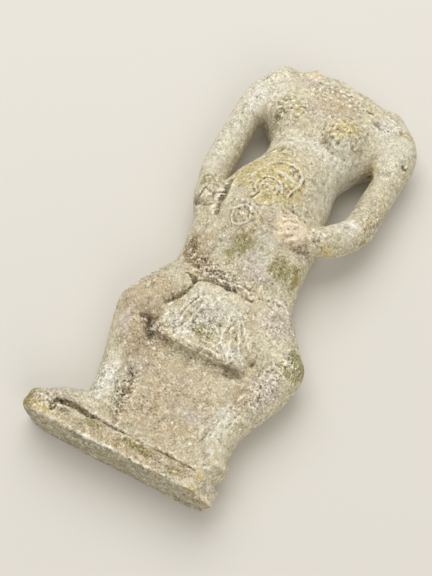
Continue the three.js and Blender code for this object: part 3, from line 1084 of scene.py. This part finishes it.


# Stains on the clay, with painted shade and painted highlights, laid one over another: the point attribute
# that places each one, with None for all over, its colour, how much it covers, the size of its blotches in
# millimetres, how much they weigh beside the attribute, and the sums of the two at which it starts and is
# full.
STAINS_AND_PAINTED_LIGHT = [
    (None, "#c4bda6", 0.6, 9, 1, 0.45, 0.6),
    (None, "#cbbf9a", 0.5, 5, 1, 0.48, 0.62),
    ("cool", "#dbd6c2", 0.75, 3, 0.8, 0.6, 1.1),
    ("earth", "#b5a07f", 0.65, 3, 0.8, 0.65, 1.2),
    ("ochre", "#c8b675", 0.7, 2.4, 1, 0.7, 1.3),
    ("olive", "#8c854c", 0.7, 2.2, 1, 0.8, 1.3),
    ("chalk", "#e6e2d6", 0.8, 1.6, 1, 0.8, 1.3),
    ("lilac", "#c4b8aa", 0.75, 2.6, 1, 0.65, 1.15),
    ("flesh", "#f0dbbb", 0.85, 2, 0.8, 0.6, 1),
    # Brown soil, and painted shadow in creases, in the groove over the plinth and under the kilt's rim.
    ("brown_soil_and_shadow", "#796648", 0.7, 1.2, 1.8, 1.25, 1.8),
    # The plinth's underside darkened: painted shade, with its blade streaks.
    ("under", "#948a70", 0.7, 4, 1, 0.6, 1.4),
    ("under", "#c9bea3", 0.6, 1, 2, 1.95, 2.2),
    (None, "#9a8f78", 0.45, 2.4, 1, 0.53, 0.66),
    (None, "#e9e2cc", 0.5, 1.8, 1, 0.54, 0.68),
    # Soil and painted shade in broad hollows.
    ("valley_soil_and_shade", "#94805f", 0.3, 2.4, 0.9, 0.9, 1.5),
    # Soil and painted shade in creases and in lines cut into the skin.
    ("hollow", "#6f5f47", 0.72, 1.2, 1.1, 0.8, 1.4),
    # Pale wear and a painted highlight on edges and raised lines.
    ("ridge", "#f3edd9", 0.75, 1.2, 1, 0.75, 1.3),
    ("rough", "#6a5d47", 0.65, 1, 2, 2, 2.25),
    ("rough", "#f1ead4", 0.65, 0.8, 2, 1.95, 2.2),
]
# How much stains are drawn out along the plinth's underside, where it was struck off with a blade.
STREAKS = {"under": (0.12, 1, 1)}
# How far each stain's blotches lie from the last one's, in metres, so that no two are alike.
BLOTCH_STEP = (0.31, 0.17, 0)

# The clay's fine noises: grain size in millimetres, detail and roughness. Real grit is about 0.2 mm
# across and is drawn coarser, to show.
NOISES = {
    "drift": (5, 4, 0.6),
    "crack": (2.2, 4, 0.6),
    "grit": (1.3, 2, 0.5),
    "sand": (0.6, 2, 0.5),
    "glint": (0.5, 2, 0.5),
    "relief": (0.6, 3, 0.6),
}
# Nearly all of a fine noise reads between these.
NOISE_LOW = 0.34
NOISE_HIGH = 0.66
# The least and the most light that grains give back.
GRAINS = {"grit": (0.78, 1.18), "sand": (0.76, 1.22)}
# Fine cracks: how wide each reads in the noise that it follows, and the light it gives back.
CRACK_WIDTH = 0.035
CRACK_LIGHT = 0.72
# How far the glint of the finest grains lightens or darkens the clay.
GLINT = 0.14
# Grains, cracks and glint show in drifts: what rough skin adds to the drifts' noise, the readings between
# which they set in, and the least share outside them.
DRIFT_ROUGH = 0.25
DRIFT_LOW = 0.4
DRIFT_HIGH = 0.72
DRIFT_LEAST = 0.35


def stained_with_painted_light(tree, place, colour):
    """The colour under all stains, painted shade and painted highlights, each one mixed in where its
    blotches and its attribute run high.
    """
    for index, (name, hue, cover, size, spread, low, high) in enumerate(STAINS_AND_PAINTED_LIGHT):
        shift = tuple(index * part for part in BLOTCH_STEP)
        mapping = {"Vector": place, "Location": shift, "Scale": STREAKS.get(name, (1, 1, 1))}
        moved = node(tree, "Mapping", mapping).outputs[0]
        blotches = {"Vector": moved, "Scale": 1 / (size * MM), "Detail": 3, "Roughness": 0.5}
        share = node(tree, "TexNoise", blotches).outputs[0]
        if name:
            held = node(tree, "Attribute", {}, attribute_name=name).outputs["Fac"]
            share = node(tree, "Math", {0: share, 1: spread, 2: held}, operation="MULTIPLY_ADD").outputs[0]
        limits = {0: share, 1: low, 2: high, 3: 0, 4: cover}
        share = node(tree, "MapRange", limits, interpolation_type="SMOOTHSTEP").outputs[0]
        mixed = node(tree, "Mix", {0: share, 6: colour, 7: linear(hue)}, data_type="RGBA")
        colour = mixed.outputs[2]
    return colour


def fired_clay(colours):
    """Fired clay, mould-pressed, buried and cleaned: pale and matte, with soil and painted shade in its
    hollows.

    It gives the eye a chalky body with no gloss, paler on its ridges from wear and a painted highlight,
    with olive and ochre blotches, brown creases of soil and painted shade, a painted shade on the plinth's
    underside, and pepper-fine grit.
    """
    material = bpy.data.materials.new("fired_clay_with_soil_and_painted_shade")
    material.use_nodes = True
    tree = material.node_tree
    tree.nodes.clear()
    place = node(tree, "TexCoord", {}).outputs["Object"]
    noise = {}
    for name, (size, detail, roughness) in NOISES.items():
        inputs = {"Vector": place, "Scale": 1 / (size * MM), "Detail": detail, "Roughness": roughness}
        noise[name] = node(tree, "TexNoise", inputs).outputs[0]
    rough = node(tree, "Attribute", {}, attribute_name="rough").outputs["Fac"]
    terms = {0: rough, 1: DRIFT_ROUGH, 2: noise["drift"]}
    drift = node(tree, "Math", terms, operation="MULTIPLY_ADD").outputs[0]
    limits = {0: drift, 1: DRIFT_LOW, 2: DRIFT_HIGH, 3: DRIFT_LEAST, 4: 1}
    gritty = node(tree, "MapRange", limits).outputs[0]
    shades = []
    for name, (dark, light) in GRAINS.items():
        limits = {0: noise[name], 1: NOISE_LOW, 2: NOISE_HIGH, 3: dark, 4: light}
        shades.append(node(tree, "MapRange", limits))
    crack = node(tree, "Math", {0: noise["crack"], 1: 0.5}, operation="SUBTRACT")
    crack = node(tree, "Math", {0: crack.outputs[0]}, operation="ABSOLUTE")
    limits = {0: crack.outputs[0], 1: 0, 2: CRACK_WIDTH, 3: CRACK_LIGHT, 4: 1}
    shades.append(node(tree, "MapRange", limits))
    colour = stained_with_painted_light(tree, place, linear(colours.clay))
    for shade in shades:
        layers = {0: gritty, 6: colour, 7: shade.outputs[0]}
        colour = node(tree, "Mix", layers, data_type="RGBA", blend_type="MULTIPLY").outputs[2]
    limits = {0: noise["glint"], 1: NOISE_LOW, 2: NOISE_HIGH, 3: -GLINT, 4: GLINT}
    glint = node(tree, "MapRange", limits).outputs[0]
    layers = {0: gritty, 6: colour, 7: glint}
    colour = node(tree, "Mix", layers, data_type="RGBA", blend_type="ADD").outputs[2]
    bump = node(tree, "Bump", {"Height": noise["relief"], "Strength": 0.8, "Distance": 0.3 * MM})
    finish = {"Roughness": 0.88, "IOR": 1.5, "Specular IOR Level": 0.3}
    shader = node(tree, "BsdfPrincipled", finish | {"Base Color": colour, "Normal": bump.outputs[0]})
    node(tree, "OutputMaterial", {"Surface": shader.outputs[0]})
    return material


def plain_board(colour):
    """A matte painted board: one even pale tone."""
    material = bpy.data.materials.new("matte_painted_board")
    material.use_nodes = True
    shader = material.node_tree.nodes["Principled BSDF"]
    shader.inputs["Base Color"].default_value = linear(colour)
    shader.inputs["Roughness"].default_value = 0.9
    return material


class FigurineSizes(bpy.types.PropertyGroup):
    """The sizes that shape the figurine."""

    grain: bpy.props.FloatProperty(
        name="Grain",
        description="Pitch in millimetres of the skin that joins the forms",
        default=0.32,
        min=0.2,
        max=1,
    )
    carving: bpy.props.FloatProperty(
        name="Carving",
        description="Share of the full depth of all carving",
        default=1,
        min=0,
        max=2,
        subtype="FACTOR",
    )
    wear: bpy.props.FloatProperty(
        name="Wear",
        description="Share of the full depth of lumps and pits",
        default=1,
        min=0,
        max=2,
        subtype="FACTOR",
    )
    triangles: bpy.props.IntProperty(
        name="Triangles",
        description="Most triangles that the finished skin holds",
        default=190000,
        min=20000,
    )


class FigurineColours(bpy.types.PropertyGroup):
    """Colours, as sRGB hex values."""

    clay: bpy.props.StringProperty(name="Clay", description="The bare clay", default="#d2c8ac")
    board: bpy.props.StringProperty(name="Board", description="The floor", default="#d8d4cb")


class FIGURINE_OT_figure(bpy.types.Operator):
    """Make the figurine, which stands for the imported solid"""

    bl_idname = "figurine.figure"
    bl_label = "Make figurine"

    def execute(self, context):
        mesh = sculpt(context.scene.figurine_sizes)
        points, edges, triangles = geometry(mesh)
        for name, values in stains(points, edges, triangles).items():
            layer = mesh.attributes.new(name, "FLOAT", "POINT")
            layer.data.foreach_set("value", values.astype(np.float32))
        midline = Vector((LOW.x + LEFT_REACH * MM, LOW.y, LOW.z))
        mesh.transform(Matrix.Translation(midline) @ Matrix.Scale(MM, 4))
        mesh.shade_smooth()
        mesh.name = "worn_figurine"
        piece = bpy.data.objects.new("worn_figurine", mesh)
        context.scene.collection.objects.link(piece)
        mesh.materials.clear()
        mesh.materials.append(fired_clay(context.scene.figurine_colours))
        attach(piece, "root")
        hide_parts(PIECE)
        return {"FINISHED"}


# The camera: how far the view is turned from up the body, its height above the horizon, the point that it
# looks at and its distance from there, both in the figure's millimetres, and its lens.
VIEW_TURN = math.radians(27.08)
VIEW_TILT = math.radians(64)
VIEW_TARGET = Vector((-2.52, -11.81, 8))
VIEW_REACH = 333.43
LENS = 68.75
# The lights: name, metres to the right of that point, ahead of it and above it, width, and power in watts.
LIGHTS = [
    ("key", (-0.08, 0.5, 0.85), 0.9, 7.4),
    ("fill", (0.45, -1.25, 1.05), 1, 6.8),
]
# The even light of the studio's walls: its colour and strength.
WALL_COLOUR = (1, 0.98, 0.95, 1)
WALL_STRENGTH = 0.5
# The floor's four edges lie this many metres from its middle.
FLOOR_REACH = 2


class FIGURINE_OT_stage(bpy.types.Operator):
    """Make the floor, the lights and the camera"""

    bl_idname = "figurine.stage"
    bl_label = "Make stage"

    def execute(self, context):
        scene = context.scene
        sides = ((-1, -1), (1, -1), (1, 1), (-1, 1))
        corners = [(FLOOR_REACH * x, FLOOR_REACH * y, LOW.z) for x, y in sides]
        mesh = mesh_of(corners, [(0, 1, 2, 3)], "board")
        mesh.materials.append(plain_board(scene.figurine_colours.board))
        board = bpy.data.objects.new("board", mesh)
        scene.collection.objects.link(board)

        right = Vector((math.cos(VIEW_TURN), math.sin(VIEW_TURN), 0))
        ahead = Vector((-math.sin(VIEW_TURN), math.cos(VIEW_TURN), 0))
        forward = math.cos(VIEW_TILT) * ahead - Vector((0, 0, math.sin(VIEW_TILT)))
        target = VIEW_TARGET * MM
        camera = bpy.data.objects.new("camera", bpy.data.cameras.new("camera"))
        camera.location = target - forward * VIEW_REACH * MM
        camera.rotation_euler = forward.to_track_quat("-Z", "Y").to_euler()
        camera.data.lens = LENS
        camera.data.clip_start = 0.01
        scene.collection.objects.link(camera)
        scene.camera = camera

        for name, (side, along, height), width, power in LIGHTS:
            lamp = bpy.data.lights.new(name, "AREA")
            lamp.size = width
            lamp.energy = power
            holder = bpy.data.objects.new(name, lamp)
            holder.location = target + right * side + ahead * along + Vector((0, 0, height))
            holder.rotation_euler = (target - holder.location).to_track_quat("-Z", "Y").to_euler()
            scene.collection.objects.link(holder)
        world = bpy.data.worlds.new("studio")
        world.use_nodes = True
        walls = world.node_tree.nodes["Background"]
        walls.inputs["Color"].default_value = WALL_COLOUR
        walls.inputs["Strength"].default_value = WALL_STRENGTH
        scene.world = world
        scene.view_settings.view_transform = "Standard"
        return {"FINISHED"}


class FIGURINE_PT_panel(bpy.types.Panel):
    """Lists the figurine's sizes, colours and pieces"""

    bl_idname = "FIGURINE_PT_panel"
    bl_label = "Figurine"
    bl_space_type = "VIEW_3D"
    bl_region_type = "UI"
    bl_category = "Figurine"

    def draw(self, context):
        for group in (context.scene.figurine_sizes, context.scene.figurine_colours):
            for key in group.__annotations__:
                self.layout.prop(group, key)
        for operator in (FIGURINE_OT_figure, FIGURINE_OT_stage):
            self.layout.operator(operator.bl_idname)


CLASSES = (FigurineSizes, FigurineColours, FIGURINE_OT_figure, FIGURINE_OT_stage, FIGURINE_PT_panel)


def register():
    for one in CLASSES:
        bpy.utils.register_class(one)
    bpy.types.Scene.figurine_sizes = bpy.props.PointerProperty(type=FigurineSizes)
    bpy.types.Scene.figurine_colours = bpy.props.PointerProperty(type=FigurineColours)


def unregister():
    del bpy.types.Scene.figurine_colours
    del bpy.types.Scene.figurine_sizes
    for one in reversed(CLASSES):
        bpy.utils.unregister_class(one)


def main():
    register()
    bpy.ops.figurine.figure()
    bpy.ops.figurine.stage()


if __name__ == "__main__":
    main()
